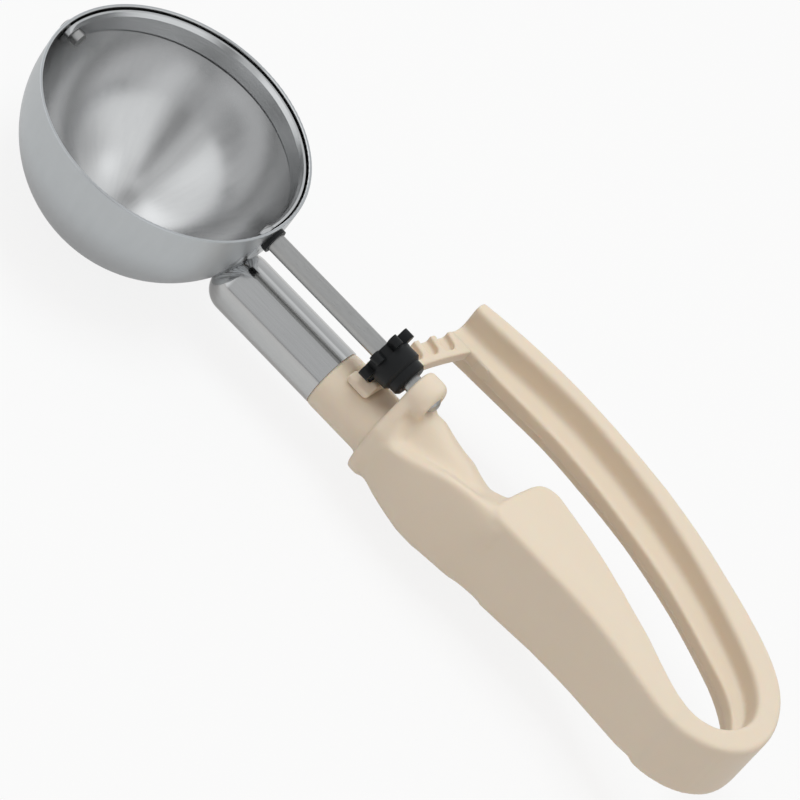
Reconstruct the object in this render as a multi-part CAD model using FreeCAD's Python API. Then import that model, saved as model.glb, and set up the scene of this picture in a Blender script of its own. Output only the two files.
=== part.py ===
import FreeCAD, Part
import math
import os

from FreeCAD import Vector as V

# Squeeze-handle portion scoop, millimetres.
# Origin: centre of the bowl's mouth, in the plane of its rim.
# +X runs from the bowl to the rear of the handle, +Y to the squeeze lever, +Z out of the mouth.

# Bowl
BOWL_OD = 69.85
BOWL_WALL = 0.8
AXIS_DROP = 4.25
LIP_ROUND = 0.2

# Drive rod and its bearings
ROD_D = 4.76
RUN_FIT = 0.05
BUSH_WALL = 0.85
BUSH_IN = 0.05
BUSH_OUT = 0.9
ROD_INTO_BOWL = 2.2
ROD_SEAT_SHORT = 1.2

# Sweep blade
BLADE_GAP = 0.3
BLADE_THICK = 1.3
BLADE_WIDTH = 7.0
BLADE_BEVEL = 1.1
BLADE_EDGE = 0.55

# Pivot rivet at the far side of the bowl
RIVET_D = 2.4
RIVET_HEAD_D = 4.0
RIVET_HEAD_T = 1.1
RIVET_BARREL_D = 3.6
RIVET_BARREL_L = 2.0
RIVET_PLAY = 0.1

# Shank tube
TUBE_D = 15.9
TUBE_WALL = 1.0
TUBE_DROP = 17.15
NOSE_SINK = 1.32
TUBE_NOSE_ROUND = 6.0
TUBE_END_X = 65.9
SEAT_GAP = 0.02
SPIGOT_L = 18.0
SPIGOT_LEAD = 1.0

# Pinion
WHEEL_X = 71.6
WHEEL_T = 2.6
LOBES = 7
PITCH_R = 6.0
LOBE_CENTRE_R = 6.5
LOBE_W = 2.6
WHEEL_ROOT_R = 5.3
LOBE_PHASE = 256.5
HUB_R = 5.55
HUB_L = 4.4
TAIL_R = 4.65
TAIL_L = 2.6
PINION_CHAMFER = 0.6

# Handle, common levels
HANDLE_TOP_Z = -3.7
BAND_W = 17.0
EDGE_ROUND = 1.2

# Living hinge, where the loop bends
HINGE_X = 189.0
HINGE_Y = -8.0
KNUCKLE_R = 3.9
KNUCKLE_GAP = 0.3
SPLIT_ANGLE = 40.0
BLADE_SWING = 180.0

# Rack arm
ARM_W = 6.6
ARM_T = 4.0
ARM_SETBACK = 1.8
ARM_TIP_Y = -4.9
ARM_TIP_BEVEL = 2.2
ARM_UNDER_ROUND = 1.2
RACK_CLEAR = 0.3
GROOVE_W = 3.7
GROOVE_WALL = 1.8
GROOVES = 6
CHANNEL_SIDE = 0.6
CHANNEL_FLOOR = 0.3

# Collar and boss at the front of the grip
ROD_BARE = 1.4
COLLAR_T = 3.6
COLLAR_WALL = 2.35
COLLAR_SHOULDER = 8.0
COLLAR_ROUND = 1.0
BOSS_R = 5.2
BOSS_L = 6.7
BOSS_ROUND = 1.8
NECK_SETBACK = 3.4

# Plan outlines, seen along -Z
OUTER = [(76.2, 36.4), (92.0, 38.6), (108.6, 39.2), (123.0, 38.4), (137.0, 36.7), (150.0, 34.4),
         (162.0, 31.2), (174.0, 26.9), (184.5, 21.8), (191.3, 16.2), (195.4, 9.6), (197.3, 2.0),
         (196.2, -5.4), (192.2, -11.2), (186.0, -15.2), (178.5, -16.6)]
LEVER_INNER = [(76.2, 32.6), (92.0, 33.6), (108.6, 34.6), (123.0, 33.6), (137.0, 31.3),
               (150.0, 28.2), (162.0, 24.4), (174.0, 19.2), (184.0, 13.6), (189.0, 8.6),
               (191.2, 3.0), (190.6, -1.6), (187.2, -7.0), (182.8, -9.7), (178.5, -10.3)]
RIB_INNER = [(76.2, 29.6), (92.0, 28.4), (108.6, 28.6), (123.0, 27.4), (137.0, 25.0),
             (150.0, 22.2), (162.0, 18.4), (174.0, 13.5), (183.0, 9.2), (188.0, 4.6), (190.8, -0.6)]
GRIP_INNER = [(178.5, -10.3), (171.4, -8.9), (162.2, -5.3), (150.6, -1.0), (139.0, 3.8),
              (128.0, 7.0), (122.4, 7.9), (119.0, 6.4), (117.4, 2.4), (116.8, -2.5)]
GRIP_OUTER = [(118.0, -11.0), (128.0, -11.1), (139.7, -11.2), (151.0, -11.8), (162.6, -13.7),
              (171.0, -15.6), (178.5, -16.6)]
GRIP_UNDER = [(106.0, -30.2), (125.0, -28.8), (150.0, -26.0), (168.0, -22.6)]
GRIP_UNDER_ROUND = 2.6

# Neck cross-sections from the boss to the grip: station, then the outline about the tube's axis
# from the lowest point round by +Y
NECK = [
    (86.0, [(0.0, -10.3), (7.4, -7.4), (10.3, 0.0), (9.0, 7.9), (4.0, 13.8), (0.0, 15.2),
            (-4.5, 13.4), (-9.3, 8.4), (-10.3, 0.0), (-7.4, -7.4)]),
    (96.0, [(0.0, -9.6), (7.0, -6.7), (9.5, 0.4), (7.5, 6.9), (3.0, 12.2), (0.0, 13.5),
            (-4.5, 13.0), (-9.4, 11.4), (-10.8, 1.4), (-7.8, -7.0)]),
    (106.0, [(0.0, -9.0), (6.5, -6.1), (8.3, 0.9), (6.2, 7.4), (2.4, 11.2), (-1.5, 13.0),
             (-5.5, 14.4), (-9.5, 15.0), (-11.3, 2.9), (-8.3, -6.6)]),
    (114.0, [(0.0, -8.2), (6.2, -5.5), (7.6, 1.2), (6.2, 9.0), (2.6, 13.0), (-1.5, 15.2),
             (-5.5, 16.9), (-9.6, 16.7), (-11.3, 4.0), (-8.6, -5.9)]),
    (121.0, [(0.0, -7.6), (6.0, -5.2), (7.6, 2.0), (7.4, 11.0), (5.6, 16.0), (0.0, 17.6),
             (-5.5, 17.6), (-9.8, 16.9), (-11.0, 4.4), (-8.8, -5.4)]),
]

# Values that follow from the sizes above
BOWL_R = BOWL_OD / 2
BOWL_IR = BOWL_R - BOWL_WALL
AXIS_Z = -AXIS_DROP
ROD_R = ROD_D / 2
TUBE_R = TUBE_D / 2
TUBE_Z = AXIS_Z - TUBE_DROP
BLADE_R = BOWL_IR - BLADE_GAP
TUBE_NOSE_X = math.sqrt(BOWL_R ** 2 - TUBE_DROP ** 2) - NOSE_SINK
BUSH_R = ROD_R + RUN_FIT + BUSH_WALL
BAND_FLOOR_Z = HANDLE_TOP_Z - BAND_W
ARM_TOP_Z = AXIS_Z - PITCH_R
ARM_FLOOR_Z = ARM_TOP_Z - ARM_T
LOBE_TIP_R = LOBE_CENTRE_R + LOBE_W / 2
GROOVE_FLOOR_Z = AXIS_Z - LOBE_TIP_R - RACK_CLEAR
WHEEL_MID_X = WHEEL_X + WHEEL_T / 2
ARM_MID_X = WHEEL_X + ARM_SETBACK
PINION_END_X = WHEEL_X + WHEEL_T + HUB_L + TAIL_L
COLLAR_X = PINION_END_X + ROD_BARE
BOSS_END_X = COLLAR_X + BOSS_L
NECK_X = COLLAR_X + NECK_SETBACK
REACH = HINGE_X - WHEEL_MID_X
REACH_ANGLE = math.atan2(-HINGE_Y, REACH)
TEETH_PER_RADIAN = REACH / math.cos(REACH_ANGLE) ** 2 / PITCH_R
LEVER_SWING = BLADE_SWING / TEETH_PER_RADIAN
ARM_R = math.hypot(HINGE_X - ARM_MID_X, HINGE_Y)
X_AXIS = V(1, 0, 0)
Y_AXIS = V(0, 1, 0)
Z_AXIS = V(0, 0, 1)


def rod_line(x):
    """A point of the drive rod's axis."""
    return V(x, 0, AXIS_Z)


def cylinder_x(radius, x0, x1, z=AXIS_Z):
    return Part.makeCylinder(radius, x1 - x0, V(x0, 0, z), X_AXIS)


def spline_edge(points, z=0.0):
    curve = Part.BSplineCurve()
    curve.interpolate([V(x, y, z) for x, y in points])
    return curve.toShape()


def line_edge(a, b):
    return Part.LineSegment(a, b).toShape()


def slab(edges, z0, z1):
    """A plan outline at height z0, raised to z1."""
    face = Part.Face(Part.Wire(Part.__sortEdges__(edges)))
    return face.extrude(V(0, 0, z1 - z0))


def annular_sector(inner, outer, a0, a1, z0, z1):
    """A band round the hinge line, from angle a0 to a1 in degrees off the -X direction."""
    def at(radius, angle):
        turn = math.radians(180 - angle)
        return V(HINGE_X + radius * math.cos(turn), HINGE_Y + radius * math.sin(turn), z0)
    mid = (a0 + a1) / 2
    edges = [Part.Arc(at(outer, a0), at(outer, mid), at(outer, a1)).toShape(),
             line_edge(at(outer, a1), at(inner, a1)),
             Part.Arc(at(inner, a1), at(inner, mid), at(inner, a0)).toShape(),
             line_edge(at(inner, a0), at(outer, a0))]
    return slab(edges, z0, z1)


def save(name, shape):
    shape = shape.removeSplitter()
    if not shape.isValid():
        print("not valid:", name)
    print(f"{name:14s} solids {len(shape.Solids)}  volume {shape.Volume:9.1f}")
    shape.exportStep(f"parts/{name}.step")
    return shape


def dome(radius):
    """A hemisphere below the blade's axis, carried up to the rim as a plain band."""
    ball = Part.makeSphere(radius, V(0, 0, AXIS_Z), Z_AXIS, -90, 0, 360)
    band = Part.makeCylinder(radius, AXIS_DROP, V(0, 0, AXIS_Z))
    return ball.fuse(band).removeSplitter()


def bowl():
    over = 1.0
    inside = dome(BOWL_IR).fuse(Part.makeCylinder(BOWL_IR, over + AXIS_DROP, V(0, 0, AXIS_Z)))
    shell = dome(BOWL_R).cut(inside.removeSplitter())
    lip = [e for e in shell.Edges if abs(e.BoundBox.ZMin) < 1e-6 and abs(e.BoundBox.ZMax) < 1e-6]
    shell = shell.makeFillet(LIP_ROUND, lip)
    rod_hole = cylinder_x(BUSH_R + SEAT_GAP, 0, BOWL_OD)
    rivet_hole = cylinder_x(RIVET_D / 2 + SEAT_GAP, -BOWL_OD, 0)
    return shell.cut(rod_hole).cut(rivet_hole)


def rod_bush():
    """The dark ring that the rod turns in, set in the bowl's wall."""
    ring = cylinder_x(BUSH_R, BOWL_IR - BUSH_IN, BOWL_R + BUSH_OUT)
    return ring.cut(cylinder_x(ROD_R + RUN_FIT, 0, BOWL_OD))


def drive_rod():
    rod = cylinder_x(ROD_R, BOWL_IR - ROD_INTO_BOWL, BOSS_END_X - ROD_SEAT_SHORT)
    ends = [e for e in rod.Edges if isinstance(e.Curve, Part.Circle)]
    return rod.makeChamfer(BLADE_EDGE, [ends[0], ends[1]])


def sweep_blade():
    """A ring strip that fits the bowl's inside, with a round tab at each end of the axis."""
    half = BLADE_WIDTH / 2
    inner = BLADE_R - BLADE_THICK
    outer_at_edge = math.sqrt(BLADE_R ** 2 - half ** 2)
    low_out = V(outer_at_edge, 0, -half)
    top_out = V(outer_at_edge, 0, half)
    edges = [Part.Arc(low_out, V(BLADE_R, 0, 0), top_out).toShape(),
             line_edge(top_out, V(outer_at_edge - BLADE_EDGE, 0, half)),
             line_edge(V(outer_at_edge - BLADE_EDGE, 0, half), V(inner, 0, half - BLADE_BEVEL)),
             line_edge(V(inner, 0, half - BLADE_BEVEL), V(inner, 0, BLADE_BEVEL - half)),
             line_edge(V(inner, 0, BLADE_BEVEL - half), V(outer_at_edge - BLADE_EDGE, 0, -half)),
             line_edge(V(outer_at_edge - BLADE_EDGE, 0, -half), low_out)]
    profile = Part.Face(Part.Wire(edges))
    profile.translate(V(0, 0, AXIS_Z))
    ring = profile.revolve(V(0, 0, AXIS_Z), Z_AXIS, 360)
    side = Part.makeBox(BOWL_OD, BOWL_R, BLADE_WIDTH, V(-BOWL_R, 0, AXIS_Z - half))
    tabs = cylinder_x(half, -BOWL_R, BOWL_R)
    strip = ring.common(side.fuse(tabs))
    strip = strip.cut(cylinder_x(ROD_R + SEAT_GAP, 0, BOWL_R))
    return strip.cut(cylinder_x(RIVET_D / 2 + RUN_FIT, -BOWL_R, 0))


def pivot_rivet():
    """The blade's far bearing: a round head outside the bowl, a barrel inside the blade's tab."""
    head = cylinder_x(RIVET_HEAD_D / 2, -BOWL_R - RIVET_HEAD_T, -BOWL_R)
    rim = [e for e in head.Edges if abs(e.BoundBox.XMax + BOWL_R + RIVET_HEAD_T) < 1e-6]
    head = head.makeFillet(RIVET_HEAD_T * 0.8, rim)
    tab_face = BLADE_R - BLADE_THICK - RIVET_PLAY
    shank = cylinder_x(RIVET_D / 2, -BOWL_R, -tab_face)
    barrel = cylinder_x(RIVET_BARREL_D / 2, -tab_face, RIVET_BARREL_L - tab_face)
    rivet = head.fuse(shank).fuse(barrel)
    return rivet.cut(dome(BOWL_R).cut(cylinder_x(RIVET_D / 2, -BOWL_OD, 0)).cut(dome(BOWL_IR)))


def bullnose(radius, x0, rounding):
    """The tube's form: a cylinder with its bowl end rounded over."""
    barrel = cylinder_x(radius, x0, TUBE_END_X, TUBE_Z)
    return barrel.makeFillet(rounding, [e for e in barrel.Edges if e.BoundBox.XMax < x0 + 1e-6])


def shank_tube():
    tube = bullnose(TUBE_R, TUBE_NOSE_X, TUBE_NOSE_ROUND)
    tube = tube.cut(bullnose(TUBE_R - TUBE_WALL, TUBE_NOSE_X + TUBE_WALL, TUBE_NOSE_ROUND - TUBE_WALL))
    return tube.cut(dome(BOWL_R + SEAT_GAP))


def wheel_outline():
    """The front wheel: a root circle with round-tipped lobes."""
    disc = cylinder_x(WHEEL_ROOT_R, WHEEL_X, WHEEL_X + WHEEL_T)
    half = LOBE_W / 2
    post = Part.makeBox(WHEEL_T, LOBE_W, LOBE_CENTRE_R, V(WHEEL_X, -half, AXIS_Z))
    tip = Part.makeCylinder(half, WHEEL_T, V(WHEEL_X, 0, AXIS_Z + LOBE_CENTRE_R), X_AXIS)
    lobe = post.fuse(tip)
    for step in range(LOBES):
        turned = lobe.copy()
        turned.rotate(rod_line(0), X_AXIS, LOBE_PHASE - 90 + step * 360 / LOBES)
        disc = disc.fuse(turned)
    return disc.removeSplitter()


def pinion():
    hub_x = WHEEL_X + WHEEL_T
    tail_x = hub_x + HUB_L
    hub = cylinder_x(HUB_R, hub_x - WHEEL_T / 2, tail_x)
    hub = hub.makeChamfer(PINION_CHAMFER, [e for e in hub.Edges if e.BoundBox.XMin > tail_x - 1e-6])
    tail = cylinder_x(TAIL_R, tail_x - 1, PINION_END_X)
    tail = tail.makeChamfer(PINION_CHAMFER, [e for e in tail.Edges if e.BoundBox.XMin > PINION_END_X - 1e-6])
    body = wheel_outline().fuse(hub.common(cylinder_x(HUB_R + 1, hub_x, tail_x))).fuse(tail)
    return body.cut(cylinder_x(ROD_R + SEAT_GAP, WHEEL_X - 1, PINION_END_X + 1))


def knuckle(radius):
    return Part.makeCylinder(radius, BAND_W * 2, V(HINGE_X, HINGE_Y, HANDLE_TOP_Z - 1.5 * BAND_W))


def rear_side(offset):
    """The lever's side of the hinge: behind a plane across the band, this far off the hinge line."""
    size = 400.0
    box = Part.makeBox(size, size, size, V(HINGE_X + offset, HINGE_Y - size / 2, -size / 2))
    box.rotate(V(HINGE_X, HINGE_Y, 0), Z_AXIS, SPLIT_ANGLE)
    return box


def loop_band():
    """The flat band of the loop, from the lever's front end round the rear to the grip."""
    outer = spline_edge(OUTER, BAND_FLOOR_Z)
    inner = spline_edge(LEVER_INNER, BAND_FLOOR_Z)
    ends = [line_edge(V(*OUTER[0], BAND_FLOOR_Z), V(*LEVER_INNER[0], BAND_FLOOR_Z)),
            line_edge(V(*OUTER[-1], BAND_FLOOR_Z), V(*LEVER_INNER[-1], BAND_FLOOR_Z))]
    band = slab([outer, inner] + ends, BAND_FLOOR_Z, HANDLE_TOP_Z)
    faces = (BAND_FLOOR_Z, HANDLE_TOP_Z)
    rims = [e for e in band.Edges
            if min(abs(e.BoundBox.ZMin - z) + abs(e.BoundBox.ZMax - z) for z in faces) < 1e-5
            and e.Length > BAND_W]
    return band.makeFillet(EDGE_ROUND, rims)


def stiffening_rib():
    """The rib along the middle of the lever's inner face, level with the rack arm."""
    points = [p for p in LEVER_INNER if p[1] > -3.0]
    middle = [((a[0] + b[0]) / 2, (a[1] + b[1]) / 2) for a, b in zip(OUTER, LEVER_INNER)]
    outer = spline_edge(middle[:len(points)], ARM_FLOOR_Z)
    inner = spline_edge(RIB_INNER, ARM_FLOOR_Z)
    ends = [line_edge(V(*middle[0], ARM_FLOOR_Z), V(*RIB_INNER[0], ARM_FLOOR_Z)),
            line_edge(V(*middle[len(points) - 1], ARM_FLOOR_Z), V(*RIB_INNER[-1], ARM_FLOOR_Z))]
    return slab([outer, inner] + ends, ARM_FLOOR_Z, ARM_TOP_Z)


def angle_at(y, radius=ARM_R):
    """The turn about the hinge, in degrees, of a point of the arm at this Y."""
    return math.degrees(math.asin((y - HINGE_Y) / radius))


def groove_angles():
    """The rack's grooves are radial to the hinge, so the pinion's ratio is constant."""
    step = 360 / LOBES / TEETH_PER_RADIAN
    offset = (LOBE_PHASE - 270) / TEETH_PER_RADIAN
    return [math.degrees(REACH_ANGLE) + offset + step * n for n in range(GROOVES)]


def rack_arm():
    """The toothed arm that passes under the pinion."""
    inner = ARM_R - ARM_W / 2
    outer = ARM_R + ARM_W / 2
    arm = annular_sector(inner, outer, angle_at(ARM_TIP_Y), angle_at(LEVER_INNER[0][1] + 2),
                         ARM_FLOOR_Z, ARM_TOP_Z)
    under = [e for e in arm.Edges if e.BoundBox.ZMax < ARM_FLOOR_Z + 1e-6 and e.Length > 3 * ARM_W]
    arm = arm.makeFillet(ARM_UNDER_ROUND, under)
    tip = [e for e in arm.Edges if e.BoundBox.ZMin > ARM_TOP_Z - 1e-6 and e.BoundBox.YMax < ARM_TIP_Y + 3]
    arm = arm.makeChamfer(ARM_TIP_BEVEL, tip)
    half = math.degrees(GROOVE_W / 2 / REACH)
    closed_r = inner + GROOVE_WALL
    for angle in groove_angles():
        groove = annular_sector(closed_r, outer + ARM_W, angle - half, angle + half,
                                GROOVE_FLOOR_Z, ARM_TOP_Z + 1)
        corners = [e for e in groove.Edges if e.BoundBox.ZLength > 1 and e.CenterOfMass.x > ARM_MID_X - 1]
        arm = arm.cut(groove.makeFillet(GROOVE_W * 0.4, corners))
    return arm


def squeeze_lever():
    band = loop_band()
    lever_side = band.common(rear_side(KNUCKLE_GAP))
    front = band.common(Part.makeBox(200, 200, 200, V(0, HINGE_Y + 12, -100)))
    nose = band.common(knuckle(KNUCKLE_R))
    return lever_side.fuse([front, nose, stiffening_rib(), rack_arm()])


def collar():
    """The flange in front of the grip: round below about the tube, drawn in above to the rod's boss."""
    low_r = TUBE_R + COLLAR_WALL
    shoulder_z = TUBE_Z + COLLAR_SHOULDER
    right = V(COLLAR_X, low_r, TUBE_Z)
    left = V(COLLAR_X, -low_r, TUBE_Z)
    right_up = V(COLLAR_X, low_r, shoulder_z)
    left_up = V(COLLAR_X, -low_r, shoulder_z)
    boss_right = V(COLLAR_X, BOSS_R, AXIS_Z)
    boss_left = V(COLLAR_X, -BOSS_R, AXIS_Z)
    edges = [Part.Arc(left, V(COLLAR_X, 0, TUBE_Z - low_r), right).toShape(),
             line_edge(right, right_up),
             line_edge(right_up, boss_right),
             Part.Arc(boss_right, V(COLLAR_X, 0, AXIS_Z + BOSS_R), boss_left).toShape(),
             line_edge(boss_left, left_up),
             line_edge(left_up, left)]
    plate = Part.Face(Part.Wire(edges)).extrude(V(COLLAR_T, 0, 0))
    along = [e for e in plate.Edges if abs(e.BoundBox.XLength - COLLAR_T) < 1e-6]
    plate = plate.makeFillet(2 * COLLAR_ROUND, [e for e in along if e.CenterOfMass.z > TUBE_Z + 1])
    rims = [e for e in plate.Edges if e.BoundBox.XLength < 1e-6]
    return plate.makeFillet(COLLAR_ROUND, rims)


def neck():
    wires = []
    for x, outline in NECK:
        curve = Part.BSplineCurve()
        curve.interpolate([V(max(x, NECK_X), y, TUBE_Z + z) for y, z in outline], True)
        wires.append(Part.Wire(curve.toShape()))
    above = Part.makeBox(BAND_W * 8, BAND_W * 4, BAND_W, V(NECK_X - 1, -BAND_W * 2, HANDLE_TOP_Z))
    return Part.makeLoft(wires, True).cut(above)


def grip_body():
    """The grip: its plan outline, cut to the rising line of its underside."""
    z0 = min(z for _, z in GRIP_UNDER)
    outer = spline_edge(GRIP_OUTER, z0)
    inner = spline_edge(GRIP_INNER, z0)
    edges = [outer, inner,
             line_edge(V(*GRIP_OUTER[-1], z0), V(*GRIP_INNER[0], z0)),
             line_edge(V(*GRIP_INNER[-1], z0), V(*GRIP_OUTER[0], z0))]
    block = slab(edges, z0, HANDLE_TOP_Z)
    curve = Part.BSplineCurve()
    end = V(GRIP_OUTER[-1][0], 0, BAND_FLOOR_Z)
    curve.interpolate([V(x, 0, z) for x, z in GRIP_UNDER] + [end])
    start = V(GRIP_UNDER[0][0], 0, GRIP_UNDER[0][1])
    top_a = V(start.x, 0, HANDLE_TOP_Z)
    top_b = V(end.x, 0, HANDLE_TOP_Z)
    side = Part.Face(Part.Wire([curve.toShape(), line_edge(end, top_b),
                                line_edge(top_b, top_a), line_edge(top_a, start)]))
    side.translate(V(0, -BOWL_OD, 0))
    body = block.common(side.extrude(V(0, 2 * BOWL_OD, 0)))
    long_edges = [e for e in body.Edges if e.BoundBox.XLength > BAND_W * 2]
    top = [e for e in long_edges if e.BoundBox.ZMin > HANDLE_TOP_Z - 1e-5]
    under = [e for e in long_edges if e.BoundBox.ZMin < HANDLE_TOP_Z - 1e-5]
    return body.makeFillet(EDGE_ROUND, top).makeFillet(GRIP_UNDER_ROUND, under)


def grip_frame():
    band = loop_band()
    rear = band.cut(rear_side(0.0)).cut(Part.makeBox(200, 200, 200, V(0, HINGE_Y + 12, -100)))
    rear = rear.cut(knuckle(KNUCKLE_R + KNUCKLE_GAP))
    boss = cylinder_x(BOSS_R, COLLAR_X + 1, BOSS_END_X)
    boss = boss.makeFillet(BOSS_ROUND, [e for e in boss.Edges if e.BoundBox.XMin > BOSS_END_X - 1e-6])
    sleeve = cylinder_x(TUBE_R, TUBE_END_X + SEAT_GAP, COLLAR_X + 1, TUBE_Z)
    spigot = cylinder_x(TUBE_R - TUBE_WALL - SEAT_GAP, TUBE_END_X - SPIGOT_L, TUBE_END_X + 1, TUBE_Z)
    lead = [e for e in spigot.Edges if e.BoundBox.XMax < TUBE_END_X - SPIGOT_L + 1e-6]
    spigot = spigot.makeChamfer(SPIGOT_LEAD, lead)
    frame = sleeve.fuse([spigot, collar(), boss, neck(), grip_body(), rear])
    channel = annular_sector(ARM_R - ARM_W / 2 - CHANNEL_SIDE, ARM_R + ARM_W / 2 + CHANNEL_SIDE,
                             angle_at(-TUBE_D), angle_at(TUBE_D), ARM_FLOOR_Z - CHANNEL_FLOOR, 0)
    low = [e for e in channel.Edges if e.BoundBox.ZMax < ARM_FLOOR_Z and e.Length > 2 * ARM_W]
    channel = channel.makeFillet(ARM_UNDER_ROUND, low)
    bore = cylinder_x(ROD_R + RUN_FIT, COLLAR_X - 1, BOSS_END_X + 4)
    return frame.cut(channel).cut(bore)


os.makedirs("parts", exist_ok=True)
save("bowl", bowl())
save("rod_bush", rod_bush())
save("pivot_rivet", pivot_rivet())
save("shank_tube", shank_tube())
save("grip_frame", grip_frame())
save("squeeze_lever", squeeze_lever())
save("drive_rod", drive_rod())
save("sweep_blade", sweep_blade())
save("pinion", pinion())
print(f"lever swing {LEVER_SWING:.4f} degrees, blade turns {TEETH_PER_RADIAN:.4f} times the lever")
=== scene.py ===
"""Looks of the squeeze-handle portion scoop: moulded handle, finishes, table and light."""
import math

import bmesh
import bpy
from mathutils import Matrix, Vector

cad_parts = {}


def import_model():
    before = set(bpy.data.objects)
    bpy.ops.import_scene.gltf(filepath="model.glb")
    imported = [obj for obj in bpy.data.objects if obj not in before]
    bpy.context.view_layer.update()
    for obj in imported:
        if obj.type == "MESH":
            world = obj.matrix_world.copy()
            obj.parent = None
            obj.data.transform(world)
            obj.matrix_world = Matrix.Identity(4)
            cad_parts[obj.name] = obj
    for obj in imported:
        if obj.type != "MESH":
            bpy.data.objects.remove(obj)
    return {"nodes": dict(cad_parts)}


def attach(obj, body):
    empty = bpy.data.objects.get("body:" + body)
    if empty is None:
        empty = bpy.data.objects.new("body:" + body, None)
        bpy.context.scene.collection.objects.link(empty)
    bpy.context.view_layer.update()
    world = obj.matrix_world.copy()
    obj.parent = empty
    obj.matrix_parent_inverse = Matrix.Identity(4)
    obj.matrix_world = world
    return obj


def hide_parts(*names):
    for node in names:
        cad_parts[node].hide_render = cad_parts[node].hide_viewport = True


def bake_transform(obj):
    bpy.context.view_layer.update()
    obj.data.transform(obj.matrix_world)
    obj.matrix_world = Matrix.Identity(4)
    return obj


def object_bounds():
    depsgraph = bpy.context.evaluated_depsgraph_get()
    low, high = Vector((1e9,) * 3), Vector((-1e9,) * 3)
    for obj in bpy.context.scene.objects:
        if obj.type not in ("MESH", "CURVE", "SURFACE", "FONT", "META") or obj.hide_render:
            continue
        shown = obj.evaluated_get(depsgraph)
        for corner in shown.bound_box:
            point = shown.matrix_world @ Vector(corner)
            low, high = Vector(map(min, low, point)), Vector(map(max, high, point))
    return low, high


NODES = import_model()["nodes"]
CAD_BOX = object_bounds()
MM = 0.001

# Camera: place and near clip in metres, turn in degrees, lens and sensor in millimetres
CAMERA_AT = (0.24535, -0.86706, 0.79675)
CAMERA_TURN = (40.4777, -27.4328, 39.0390)
CAMERA_LENS = 233.293
CAMERA_SENSOR = 36.0
CAMERA_CLIP = 0.05

# Steel parts, metres: the rod's axis is also the height of the bowl's centre
AXIS_DROP = 0.00425
TUBE_DROP = 0.0214
BOWL_MID_R = 0.0345
WALL_FADE = 0.0002
# Round the tube's weld: a polish, and a dark reflection of the tube painted on the bowl there
WELD_X = 0.0325
WELD_DROP = 0.0125
WELD_R = 0.0075
WELD_FADE_R = 0.0125

# Rod's end, millimetres
ROD_END_R = 2.3
ROD_END_X = 88.0
ROD_END_SHARE = 0.9

# Handle's hinge, millimetres and degrees: what is lapped over the gap, and how near it lies
HINGE = Vector((189.0, -8.0, 0.0))
HINGE_REACH = 16.0
SPLIT_ANGLE = 40.0
SPLIT_GAP = 0.3
NOSE_R = 3.9
LAP = 0.45
MATCH = 0.02

# Cuts through the handle, millimetres
SLEEVE_CUT_X = 64.5
ARM_CUT_X = 89.5
ARM_CUT_Y = 28.6
GRIP_END_X = 180.0
LEVER_START_Y = 8.5
LEVER_CLEAR_X = 150.0
LEVER_CLEAR_Y = 14.0
ARM_ROOT_SHARE = 0.86
ARM_ROOT_SHIFT = Vector((0.4, 1.6, 0.0))

# Skins: voxel in millimetres, then passes of smoothing
HANDLE_SKIN = (0.55, 5)
ARM_SKIN = (0.3, 3)
LOW_CORNER_PASSES = 40
NECK_PASSES = 3

# Where the grip passes into the lever round the rear of the loop, millimetres
REAR_X = 178.0
LEVER_SIDE_Y = 9.0
REAR_HALF_Y = 8.0

# Trim of the moulding: station X, then a shift, all in millimetres
BAND_MID_Z = -12.2
BAND_HALF = 8.5
GRIP_START_X = 116.6
LEVER_UP = [(84, 0.95), (138, 0.95), (150, 0.5), (162, 0.0)]
LEVER_DOWN = [(84, 0.7), (100, 1.3), (122, 1.4), (140, 0.85), (165, 1.0), (178, 0.8),
              (192, 1.6)]
GRIP_DOWN = [(124, 0.2), (144, 0.5), (150, 1.0), (162, 1.9), (174, 2.4), (196, 2.4)]
GRIP_OUT_Y = [(118, -11.0), (139.7, -11.2), (151, -11.8), (162.6, -13.7), (171, -15.6),
              (178.5, -16.6)]
GRIP_IN_Y = [(118, 3.0), (122.4, 7.9), (128, 7.0), (139, 3.8), (150.6, -1.0), (162.2, -5.3),
             (171.4, -8.9), (178.5, -10.3)]
GRIP_WIDER = [(117, 1.4), (126, 1.3), (138, 1.9), (150, 3.0), (162, 2.9), (170, 2.4),
              (178, 1.4), (188, 0.0)]
NECK_SPAN = (82.6, 124.0)
NECK_TILT = Vector((0.0, 0.685, 0.729))
NECK_MID = Vector((0.0, 0.0, -17.0))
NECK_LOW_REACH = (1.0, 13.5)
NECK_HIGH_REACH = (0.0, 7.5)
NECK_LOW = [(82.6, 0.0), (83.2, 1.1), (85.8, 1.1), (87.4, 0.3), (89, 0.5), (92, 1.4), (96, 2.2),
            (102, 3.1), (108, 3.2), (117.2, 2.8), (118.8, 0.4), (124, 0.0)]
NECK_HIGH = [(88, 0.0), (90, 0.8), (93, 0.0), (104, 0.0), (108, 1.3), (111, 2.2), (116, 2.0),
             (116.8, 0.0)]
NECK_GROOVE = [(87, 0.0), (90, 2.4), (98, 2.5), (108, 1.8), (115, 0.0)]
GROOVE_Y = [(86, -6.6), (98, -6.2), (112, -4.8)]
GROOVE_WIDTH = 2.9
GROOVE_NORMAL_Z = 0.3
RIDGE_Y = [(86, -10.8), (96, -11.1), (112, -11.1)]
RIDGE_Z = [(86, -15.2), (96, -11.0), (106, -6.2), (112, -4.2)]
RIDGE_LIFT = [(87, 0.0), (89, 1.3), (104, 1.2), (112, 0.5), (118, 0.0)]
RIDGE_WAY = Vector((0.0, -0.55, 0.83))
RIDGE_SPREAD = 5.0

# Table: how much of its own white each kind of ray sees over the shaded paint
TABLE_SIZE = 6.0
TABLE_GAP = 0.0002
TABLE_GREY = 0.74
TABLE_SEEN = 0.85
TABLE_MIRRORED = 0.25

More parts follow.
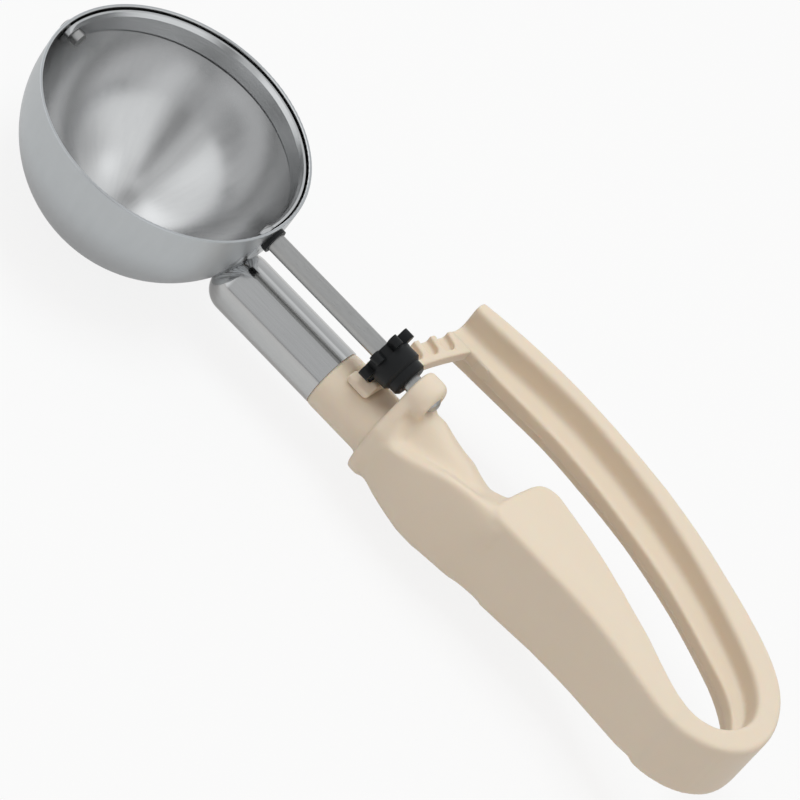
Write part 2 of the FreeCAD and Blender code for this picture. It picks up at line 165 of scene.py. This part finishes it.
# Studio that the steel shows: (middle, half width, change of level), directions in degrees
BOWL_LEVEL = 0.95
BOWL_PANELS = [(-75, 25, -0.66), (104, 24, -0.4), (150, 36, 0.42), (-125, 30, 0.1)]
FRONT_SHADE = [(32, 46, -0.36)]
FRONT_SHADE_TOP = (0.75, 0.92)
FRONT_GLOW = [(28, 50, 0.3)]
FRONT_GLOW_AT = (0.92, 0.09)
CEILING = (0.93, 1.0)
CEILING_DARKER = 0.15
TUBE_LEVEL = 0.62
TUBE_PANELS = [(-90, 9, -0.2), (14, 15, -0.3), (40, 11, 0.34)]
TUBE_GLOW = (48, 80)
TUBE_GLOW_CHANGE = 0.16
TUBE_BESIDE = (-0.137, 0.22)
STUDIO_TINT = (0.985, 1.0, 1.01)

# Dome that lights the plastic: level at the horizon, rise to the top, tint
DOME_LEVEL = 0.42
DOME_RISE = 0.22
DOME_TINT = (1.07, 1.0, 0.95)

# Lamp, metres and watts
KEY_AT = (0.0, 0.05, 1.0)
KEY_AIM = (0.08, 0.0, -0.01)
KEY_SIZE = 0.6
KEY_POWER = 4.9
KEY_COLOUR = (0.90, 1.0, 1.04)


class Val:
    """A number in a material: arithmetic on it adds Math nodes."""

    def __init__(self, tree, socket):
        self.tree, self.socket = tree, socket

    def op(self, operation, *others, clamp=False):
        sockets = dict(enumerate((self,) + others))
        return self.tree.add("Math", {"operation": operation, "use_clamp": clamp}, sockets).val()

    def __add__(self, other):
        return self.op("ADD", other)

    def __sub__(self, other):
        return self.op("SUBTRACT", other)

    def __rsub__(self, other):
        return self.op("MULTIPLY", -1.0).op("ADD", other)

    def __mul__(self, other):
        return self.op("MULTIPLY", other)

    def __truediv__(self, other):
        return self.op("DIVIDE", other)

    __radd__ = __add__
    __rmul__ = __mul__

    def clamp(self):
        return self.op("ADD", 0.0, clamp=True)

    def rise(self, low, high):
        """0 below low, 1 above high, smooth between."""
        t = ((self - low) / (high - low)).clamp()
        return t * t * (3.0 - 2.0 * t)

    def bump_at(self, centre, width):
        """1 at centre, falling smoothly to 0 a width away."""
        return 1.0 - ((self - centre).op("ABSOLUTE") / width).clamp().rise(0.0, 1.0)


class Added:
    """A node just added, read through its output sockets."""

    def __init__(self, tree, node):
        self.tree, self.node = tree, node

    def val(self, output=0):
        return Val(self.tree, self.node.outputs[output])


class Tree:
    """The nodes of one material or of the world."""

    def __init__(self, tree):
        self.nodes, self.links = tree.nodes, tree.links
        self.nodes.clear()

    def add(self, kind, settings=None, sockets=None):
        node = self.nodes.new("ShaderNode" + kind)
        for name, value in (settings or {}).items():
            setattr(node, name, value)
        for name, value in (sockets or {}).items():
            if isinstance(value, Val):
                self.links.new(value.socket, node.inputs[name])
            else:
                node.inputs[name].default_value = value
        return Added(self, node)

    def noise(self, vector, scale, detail=3.0):
        return self.add("TexNoise", {}, {"Vector": vector, "Scale": scale, "Detail": detail,
                                         "Roughness": 0.55}).val("Fac")

    def blend(self, factor, a, b):
        """Colour a where factor is 0, b where it is 1."""
        node = self.add("Mix", {"data_type": "RGBA"}, {0: factor, 6: a, 7: b})
        return node.val(2)

    def place(self):
        """The point on the piece, in the object's frame."""
        return self.add("TexCoord").val("Object")

    def parts(self, vector):
        node = self.add("SeparateXYZ", {}, {0: vector})
        return node.val(0), node.val(1), node.val(2)

    def join(self, x, y, z):
        return self.add("CombineXYZ", {}, {0: x, 1: y, 2: z}).val()

    def tinted(self, level, tint):
        """A colour of this level, its three channels scaled by the tint."""
        channels = {index: level * share for index, share in enumerate(tint)}
        return self.add("CombineColor", {}, channels).val()

    def bump(self, height, strength, distance):
        return self.add("Bump", {}, {"Height": height, "Strength": strength,
                                     "Distance": distance}).val()


def material(name):
    """A new material and its cleared nodes."""
    made = bpy.data.materials.new(name)
    made.use_nodes = True
    return made, Tree(made.node_tree)


def surface(tree, sockets):
    """Ends a material with one shader."""
    shader = tree.add("BsdfPrincipled", {}, sockets)
    tree.add("OutputMaterial", {}, {"Surface": shader.val()})


def grey(level):
    return (level, level, level, 1.0)


def bowl_steel():
    """Drawn steel: satin outside, brighter inside, with spun rings and streaks up the wall, and
    a painted dark reflection of the tube on the wall round its weld.
    """
    made, tree = material("bowl_satin_steel")
    place = tree.place()
    x, y, z = tree.parts(place)
    around = y.op("ARCTAN2", x)
    down = z + AXIS_DROP
    flat = x * x + y * y
    height = down.op("ARCTAN2", flat.op("SQRT"))
    radius = (flat + down * down).op("SQRT")
    outside = radius.rise(BOWL_MID_R - WALL_FADE, BOWL_MID_R + WALL_FADE)
    streaks = tree.noise(tree.join(around * 0.55, height * 0.16, 0.0), 26.0, 4.0)
    rings = tree.noise(tree.join(around * 0.35, height * 60.0, 2.0), 3.2, 4.0)
    cloud = tree.noise(place, 45.0, 3.0)
    tone = (0.25 + 0.55 * streaks + 0.2 * rings).clamp()
    inner = tree.blend(tone, (0.55, 0.555, 0.56, 1.0), (0.68, 0.68, 0.68, 1.0))
    outer = tree.blend(tone, (0.47, 0.49, 0.505, 1.0), (0.57, 0.59, 0.605, 1.0))
    x_off, z_off = x - WELD_X, z + WELD_DROP
    weld_gap = (x_off * x_off + y * y + z_off * z_off).op("SQRT")
    # The wall round the tube's weld is polished, and dark streaky patches painted there stand in
    # for the tube's reflection in it
    weld_polish_and_painted_reflection = outside * (1.0 - weld_gap.rise(WELD_R, WELD_FADE_R))
    painted_reflection_streaks = tree.noise(tree.join(around * 9.0, height * 0.4, 5.0), 9.0, 2.0)
    outer = tree.blend(weld_polish_and_painted_reflection * painted_reflection_streaks.rise(0.42, 0.6), outer, (0.2, 0.2, 0.205, 1.0))
    rough = 0.12 + 0.07 * streaks + 0.05 * rings + 0.05 * cloud + 0.14 * outside
    rough = rough - 0.2 * weld_polish_and_painted_reflection
    surface(tree, {"Metallic": 1.0, "Base Color": tree.blend(outside, inner, outer),
                   "Roughness": rough, "Normal": tree.bump(rings + 0.6 * streaks, 0.1, 0.00003)})
    return made


def tube_chrome():
    """Polished tube with the faint lengthwise lines of its drawing."""
    made, tree = material("tube_polished")
    x, y, z = tree.parts(tree.place())
    around = y.op("ARCTAN2", z + TUBE_DROP)
    lines = tree.noise(tree.join(x * 6.0, around * 1.2, 0.0), 18.0, 4.0)
    smudge = tree.noise(tree.join(x, y, z), 160.0, 3.0)
    colour = tree.blend(lines, (0.50, 0.505, 0.505, 1.0), (0.60, 0.60, 0.60, 1.0))
    surface(tree, {"Metallic": 1.0, "Base Color": colour,
                   "Roughness": 0.06 + 0.05 * lines + 0.05 * smudge,
                   "Normal": tree.bump(lines, 0.12, 0.00003)})
    return made


def rod_steel():
    """Drawn wire: fine lines along it, a little duller than the tube."""
    made, tree = material("rod_drawn_steel")
    x, y, z = tree.parts(tree.place())
    around = y.op("ARCTAN2", z + AXIS_DROP)
    lines = tree.noise(tree.join(x * 22.0, around * 1.6, 0.0), 14.0, 4.0)
    spots = tree.noise(tree.join(x, y, z), 420.0, 3.0)
    colour = tree.blend(lines, (0.36, 0.36, 0.355, 1.0), (0.52, 0.52, 0.515, 1.0))
    surface(tree, {"Metallic": 1.0, "Base Color": colour,
                   "Roughness": 0.2 + 0.12 * lines + 0.08 * spots,
                   "Normal": tree.bump(lines, 0.25, 0.00004)})
    return made


def blade_steel():
    """Strip steel, polished, ground lines along the strip."""
    made, tree = material("blade_polished_strip")
    x, y, z = tree.parts(tree.place())
    around = y.op("ARCTAN2", x)
    lines = tree.noise(tree.join(around * 2.0, z * 900.0, 0.0), 3.0, 4.0)
    colour = tree.blend(lines, (0.55, 0.56, 0.565, 1.0), (0.72, 0.725, 0.73, 1.0))
    surface(tree, {"Metallic": 1.0, "Base Color": colour, "Roughness": 0.12 + 0.12 * lines,
                   "Normal": tree.bump(lines, 0.15, 0.00003)})
    return made


def black_plastic():
    """Moulded black plastic: fine grain, with soft patches of slightly varying colour and sheen.
    """
    made, tree = material("black_moulded_plastic")
    place = tree.place()
    grain = tree.noise(place, 1500.0, 3.0)
    cloud = tree.noise(place, 160.0, 3.0)
    colour = tree.blend(cloud, (0.0035, 0.0042, 0.0046, 1.0), (0.009, 0.010, 0.011, 1.0))
    surface(tree, {"Base Color": colour, "Roughness": 0.34 + 0.2 * cloud,
                   "Specular IOR Level": 0.25, "Normal": tree.bump(grain, 0.2, 0.00006)})
    return made


def ivory_plastic():
    """Ivory plastic: a soft even sheen, slight flow marks, a little light let through."""
    made, tree = material("ivory_moulded_plastic")
    place = tree.place()
    x, y, z = tree.parts(place)
    flow = tree.noise(tree.join(x * 0.35, y, z), 70.0, 3.0)
    grain = tree.noise(place, 1300.0, 3.0)
    colour = tree.blend(flow, (0.775, 0.665, 0.53, 1.0), (0.815, 0.705, 0.57, 1.0))
    surface(tree, {"Base Color": colour, "Roughness": 0.36 + 0.1 * flow + 0.06 * grain,
                   "Subsurface Weight": 0.3, "Subsurface Radius": (1.0, 0.5, 0.25),
                   "Subsurface Scale": 0.0015, "IOR": 1.49,
                   "Normal": tree.bump(grain, 0.12, 0.00005)})
    return made


def cad_mesh(node):
    """A merged copy of a CAD node's mesh, in millimetres."""
    bm = bmesh.new()
    bm.from_mesh(NODES[node].data)
    bmesh.ops.remove_doubles(bm, verts=bm.verts, dist=1e-7)
    bmesh.ops.scale(bm, vec=(1 / MM,) * 3, verts=bm.verts)
    return bm


def cut(bm, at, normal, region, drop):
    """Cuts a region's faces with a plane, removes what passes drop, and closes the holes."""
    faces = [f for f in bm.faces if region(f.calc_center_median())]
    edges = list({e for f in faces for e in f.edges})
    verts = list({v for f in faces for v in f.verts})
    bmesh.ops.bisect_plane(bm, geom=faces + edges + verts, plane_co=at, plane_no=normal,
                           dist=1e-5)
    doomed = [f for f in bm.faces if drop(f.calc_center_median())]
    bmesh.ops.delete(bm, geom=doomed, context="FACES")
    loose = [v for v in bm.verts if not v.link_faces]
    bmesh.ops.delete(bm, geom=loose, context="VERTS")
    rim = [e for e in bm.edges if e.is_boundary]
    return bmesh.ops.holes_fill(bm, edges=rim, sides=0)["faces"]


def lap_hinge(bm):
    """Runs the lever's faces at the hinge over the gap, so the moulding closes there."""
    turn = math.radians(SPLIT_ANGLE)
    normal = Vector((math.cos(turn), math.sin(turn), 0))
    for v in bm.verts:
        arm = Vector((v.co.x - HINGE.x, v.co.y - HINGE.y, 0))
        if arm.length > HINGE_REACH:
            continue
        if abs(arm.length - NOSE_R) < MATCH:
            v.co += arm.normalized() * LAP
        elif abs(arm.dot(normal) - SPLIT_GAP) < MATCH:
            v.co -= normal * LAP


def linked(name, data):
    """A new object in the scene."""
    made = bpy.data.objects.new(name, data)
    bpy.context.scene.collection.objects.link(made)
    return made


def finished(bm, name):
    """A new object from a bmesh in millimetres."""
    bmesh.ops.scale(bm, vec=(MM,) * 3, verts=bm.verts)
    mesh = bpy.data.meshes.new(name)
    bm.to_mesh(mesh)
    bm.free()
    mesh.shade_smooth()
    return linked(name, mesh)


def wear(made, look):
    """Gives an object one material."""
    made.data.materials.clear()
    made.data.materials.append(look)


def soften(bm, verts, passes):
    """Smooths the given vertices, a number of times."""
    for _ in range(passes):
        bmesh.ops.smooth_vert(bm, verts=verts, factor=0.5, use_axis_x=True,
                              use_axis_y=True, use_axis_z=True)


def remeshed(bm, voxel, passes):
    """The same form as one skin, with its edges softened by smoothing."""
    source = finished(bm, "form")
    change = source.modifiers.new("skin", "REMESH")
    change.mode = "VOXEL"
    change.voxel_size = voxel * MM
    shown = source.evaluated_get(bpy.context.evaluated_depsgraph_get())
    soft = bmesh.new()
    soft.from_mesh(shown.to_mesh())
    bpy.data.objects.remove(source)
    bmesh.ops.scale(soft, vec=(1 / MM,) * 3, verts=soft.verts)
    soften(soft, soft.verts, passes)
    return soft


def read(table, x):
    """A table's value at x, straight between its rows and level past its ends."""
    for (x0, a), (x1, b) in zip(table, table[1:]):
        if x < x1:
            return a + (b - a) * max(0.0, (x - x0) / (x1 - x0))
    return table[-1][1]


def ease(value, low, high):
    """0 below low, 1 above high, smooth between."""
    t = min(1.0, max(0.0, (value - low) / (high - low)))
    return t * t * (3 - 2 * t)


def lever_share(point):
    """0 on the grip, 1 on the lever, changing round the rear of the loop."""
    if point.x < REAR_X:
        return 1.0 if point.y > LEVER_SIDE_Y else 0.0
    return ease(point.y, -REAR_HALF_Y, REAR_HALF_Y)


def trim_band(point, share):
    """Deepens the band a little, and widens the grip towards its inner wall."""
    level = max(-1.0, min(1.0, (point.z - BAND_MID_Z) / BAND_HALF))
    if level > 0:
        point.z += level * share * read(LEVER_UP, point.x)
    else:
        down = share * read(LEVER_DOWN, point.x) + (1 - share) * read(GRIP_DOWN, point.x)
        point.z += level * down
    if share < 0.5 and point.x > GRIP_START_X:
        outer, inner = read(GRIP_OUT_Y, point.x), read(GRIP_IN_Y, point.x)
        across = ease(point.y, outer, inner)
        point.y += across * read(GRIP_WIDER, point.x)


def trim_neck(point, normal):
    """Fills the neck's lower corner, and hollows it between its crest and its ridge."""
    out = (point - NECK_MID).dot(NECK_TILT)
    low = read(NECK_LOW, point.x) * ease(-out, *NECK_LOW_REACH)
    high = read(NECK_HIGH, point.x) * ease(out, *NECK_HIGH_REACH)
    aside = (point.y - read(GROOVE_Y, point.x)) / GROOVE_WIDTH
    hollow = read(NECK_GROOVE, point.x) * math.exp(-aside ** 2)
    off_y, off_z = point.y - read(RIDGE_Y, point.x), point.z - read(RIDGE_Z, point.x)
    lift = read(RIDGE_LIFT, point.x) * math.exp(-(off_y ** 2 + off_z ** 2) / RIDGE_SPREAD)
    point -= NECK_TILT * (low + high)
    point += RIDGE_WAY * lift
    if normal.z > GROOVE_NORMAL_Z:
        point.z -= hollow


def in_low_corner(point):
    return 108 < point.x < 128 and point.y < 4 and point.z < -14


def in_neck(point):
    return 84 < point.x < 128 and point.y < 11


def trim(skin):
    """Carves the skin in millimetres, then softens what was moved."""
    for v in skin.verts:
        share = lever_share(v.co)
        trim_band(v.co, share)
        if share == 0.0 and NECK_SPAN[0] < v.co.x < NECK_SPAN[1]:
            trim_neck(v.co, v.normal)
    low_corner = [v for v in skin.verts if in_low_corner(v.co)]
    neck = [v for v in skin.verts if in_neck(v.co)]
    soften(skin, low_corner, LOW_CORNER_PASSES)
    soften(skin, neck, NECK_PASSES)


def near_arm(point):
    return point.x < ARM_CUT_X


def in_arm(point):
    return near_arm(point) and point.y < ARM_CUT_Y


def handle_skin():
    """Grip and lever as one moulding, without the rack arm."""
    bm = cad_mesh("squeeze_lever")
    lap_hinge(bm)
    cut(bm, (0, ARM_CUT_Y, 0), (0, 1, 0), near_arm, in_arm)
    grip = cad_mesh("grip_frame")
    cut(grip, (SLEEVE_CUT_X, 0, 0), (1, 0, 0), near_arm, lambda p: p.x < SLEEVE_CUT_X)
    joined = bpy.data.meshes.new("grip_form")
    grip.to_mesh(joined)
    grip.free()
    bm.from_mesh(joined)
    bpy.data.meshes.remove(joined)
    skin = remeshed(bm, *HANDLE_SKIN)
    trim(skin)
    for at, normal in (((GRIP_END_X, 0, 0), (1, 0, 0)), ((0, LEVER_START_Y, 0), (0, 1, 0))):
        everywhere = skin.verts[:] + skin.edges[:] + skin.faces[:]
        bmesh.ops.bisect_plane(skin, geom=everywhere, plane_co=at, plane_no=normal)
    return skin


def piece_of(skin, name, keep):
    """An object of the skin's faces that pass keep."""
    part = skin.copy()
    doomed = [f for f in part.faces if not keep(f.calc_center_median())]
    bmesh.ops.delete(part, geom=doomed, context="FACES")
    return finished(part, name)


def is_lever(point):
    clear = point.x > LEVER_CLEAR_X or point.y > LEVER_CLEAR_Y
    return point.y > LEVER_START_Y and clear


def is_bend(point):
    return point.y < LEVER_START_Y and point.x > GRIP_END_X


def is_grip(point):
    return not is_lever(point) and not is_bend(point)


def rack():
    """The toothed arm, its root run a little way into the lever."""
    bm = cad_mesh("squeeze_lever")
    caps = cut(bm, (0, ARM_CUT_Y, 0), (0, 1, 0), near_arm, lambda p: not in_arm(p))
    grown = bmesh.ops.extrude_discrete_faces(bm, faces=caps)["faces"]
    for face in grown:
        middle = face.calc_center_median()
        for v in face.verts:
            v.co = middle + (v.co - middle) * ARM_ROOT_SHARE + ARM_ROOT_SHIFT
    bmesh.ops.remove_doubles(bm, verts=bm.verts, dist=1e-4)
    return finished(remeshed(bm, *ARM_SKIN), "rack_arm")


def build_handle(ivory):
    """The moulding in its four pieces: grip, bend, lever and toothed arm."""
    skin = handle_skin()
    grip = piece_of(skin, "grip_moulding", is_grip)
    bend = piece_of(skin, "rear_bend", is_bend)
    lever = piece_of(skin, "lever_moulding", is_lever)
    skin.free()
    arm = rack()
    for made in (grip, bend, lever, arm):
        wear(made, ivory)
    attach(grip, "handle")
    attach(lever, "lever")
    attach(arm, "lever")
    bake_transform(bend)
    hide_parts("grip_frame")
    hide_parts("squeeze_lever")


def rod_end(steel):
    """The rod's rounded end, showing at the back of the boss."""
    bm = bmesh.new()
    bmesh.ops.create_uvsphere(bm, u_segments=32, v_segments=16, radius=ROD_END_R)
    bmesh.ops.scale(bm, vec=(ROD_END_SHARE, 1.0, 1.0), verts=bm.verts)
    bmesh.ops.translate(bm, vec=(ROD_END_X, 0.0, -AXIS_DROP / MM), verts=bm.verts)
    made = finished(bm, "rod_end")
    wear(made, steel)
    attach(made, "sweep")


def dress_nodes(steel):
    """The finishes of the parts shown as they are."""
    looks = {"bowl": bowl_steel(), "shank_tube": tube_chrome(), "sweep_blade": blade_steel()}
    looks["drive_rod"] = looks["pivot_rivet"] = steel
    looks["rod_bush"] = looks["pinion"] = black_plastic()
    for name, look in looks.items():
        wear(NODES[name], look)


def floor():
    """A white table that keeps the shadow."""
    bm = bmesh.new()
    bmesh.ops.create_grid(bm, x_segments=4, y_segments=4, size=TABLE_SIZE)
    bmesh.ops.translate(bm, vec=(0, 0, CAD_BOX[0][2] - TABLE_GAP), verts=bm.verts)
    mesh = bpy.data.meshes.new("table")
    bm.to_mesh(mesh)
    bm.free()
    made = linked("table", mesh)
    look, tree = material("table_white")
    path = tree.add("LightPath")
    through = path.val("Is Glossy Ray") + path.val("Is Transmission Ray")
    seen = TABLE_SEEN * path.val("Is Camera Ray") + TABLE_MIRRORED * through
    paint = tree.add("BsdfDiffuse", {}, {"Color": grey(TABLE_GREY)})
    white = tree.add("Emission", {}, {"Color": grey(1.0), "Strength": 1.0})
    mixed = tree.add("MixShader", {}, {0: seen, 1: paint.val(), 2: white.val()})
    tree.add("OutputMaterial", {}, {"Surface": mixed.val()})
    wear(made, look)


def panelled(level, direction, panels):
    """The level with lighter and darker panels set round a direction."""
    for middle, width, change in panels:
        level = level + change * direction.bump_at(middle, width)
    return level


def world():
    """A soft studio, with broad light and dark panels round it for the steel to show."""
    made = bpy.data.worlds.new("studio")
    made.use_nodes = True
    tree = Tree(made.node_tree)
    path = tree.add("LightPath")
    x, y, z = tree.parts(tree.add("TexCoord").val("Generated"))
    side = y.op("ARCTAN2", x) * math.degrees(1)
    panels = panelled(BOWL_LEVEL, side, BOWL_PANELS)
    panels = panels + panelled(0.0, side, FRONT_SHADE) * (1.0 - z.rise(*FRONT_SHADE_TOP))
    panels = panels + panelled(0.0, side, FRONT_GLOW) * z.bump_at(*FRONT_GLOW_AT)
    panels = panels - CEILING_DARKER * z.rise(*CEILING)
    turn = y.op("ARCTAN2", z) * math.degrees(1)
    strip = panelled(TUBE_LEVEL, turn, TUBE_PANELS) + TUBE_GLOW_CHANGE * turn.rise(*TUBE_GLOW)
    level = panels + (strip - panels) * x.bump_at(*TUBE_BESIDE)
    studio = tree.tinted(level, STUDIO_TINT)
    dome = tree.tinted(DOME_LEVEL + DOME_RISE * z.rise(0.0, 1.0), DOME_TINT)
    plain = tree.blend(path.val("Is Glossy Ray"), dome, studio)
    colour = tree.blend(path.val("Is Camera Ray"), plain, grey(1.0))
    back = tree.add("Background", {}, {"Color": colour, "Strength": 1.0})
    tree.add("OutputWorld", {}, {"Surface": back.val()})
    bpy.context.scene.world = made


def key_lamp():
    """One broad lamp overhead, not mirrored in the steel."""
    data = bpy.data.lights.new("key", "AREA")
    data.shape = "DISK"
    data.size = KEY_SIZE
    data.energy = KEY_POWER
    data.color = KEY_COLOUR
    made = linked("key", data)
    made.location = KEY_AT
    way = Vector(KEY_AIM) - Vector(KEY_AT)
    made.rotation_euler = way.to_track_quat("-Z", "Y").to_euler()
    made.visible_glossy = False


def camera():
    data = bpy.data.cameras.new("camera")
    data.sensor_width = CAMERA_SENSOR
    data.lens = CAMERA_LENS
    data.clip_start = CAMERA_CLIP
    made = linked("camera", data)
    made.location = CAMERA_AT
    made.rotation_euler = [math.radians(a) for a in CAMERA_TURN]
    bpy.context.scene.camera = made


camera()
build_handle(ivory_plastic())
drawn_steel = rod_steel()
rod_end(drawn_steel)
dress_nodes(drawn_steel)
floor()
world()
key_lamp()
bpy.context.scene.view_settings.view_transform = "Standard"
